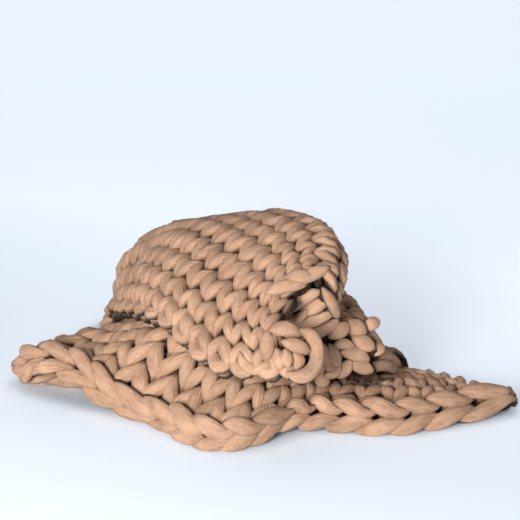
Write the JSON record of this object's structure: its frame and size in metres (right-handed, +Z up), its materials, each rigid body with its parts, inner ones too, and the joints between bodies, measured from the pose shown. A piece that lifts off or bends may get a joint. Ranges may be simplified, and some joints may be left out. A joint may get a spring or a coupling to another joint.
{
  "type": "weighted blanket",
  "caption": "Chunky hand-knitted weighted blanket of filled tube yarn, lying in a loose heap with one end folded back and forth on top.",
  "frame": {"origin": "centre of the bounding box on the floor plane", "axes": "+Z up; X along the bind-off edge that runs across the front, -Y towards the front of the heap, +X towards the long flat tail"},
  "size_m": [0.9922, 0.8472, 0.353],
  "materials": {
    "jersey_yarn": "matte brushed jersey tube, filled"
  },
  "bodies": {
    "root": {"knit_blanket": "jersey_yarn"}
  },
  "joints": []
}
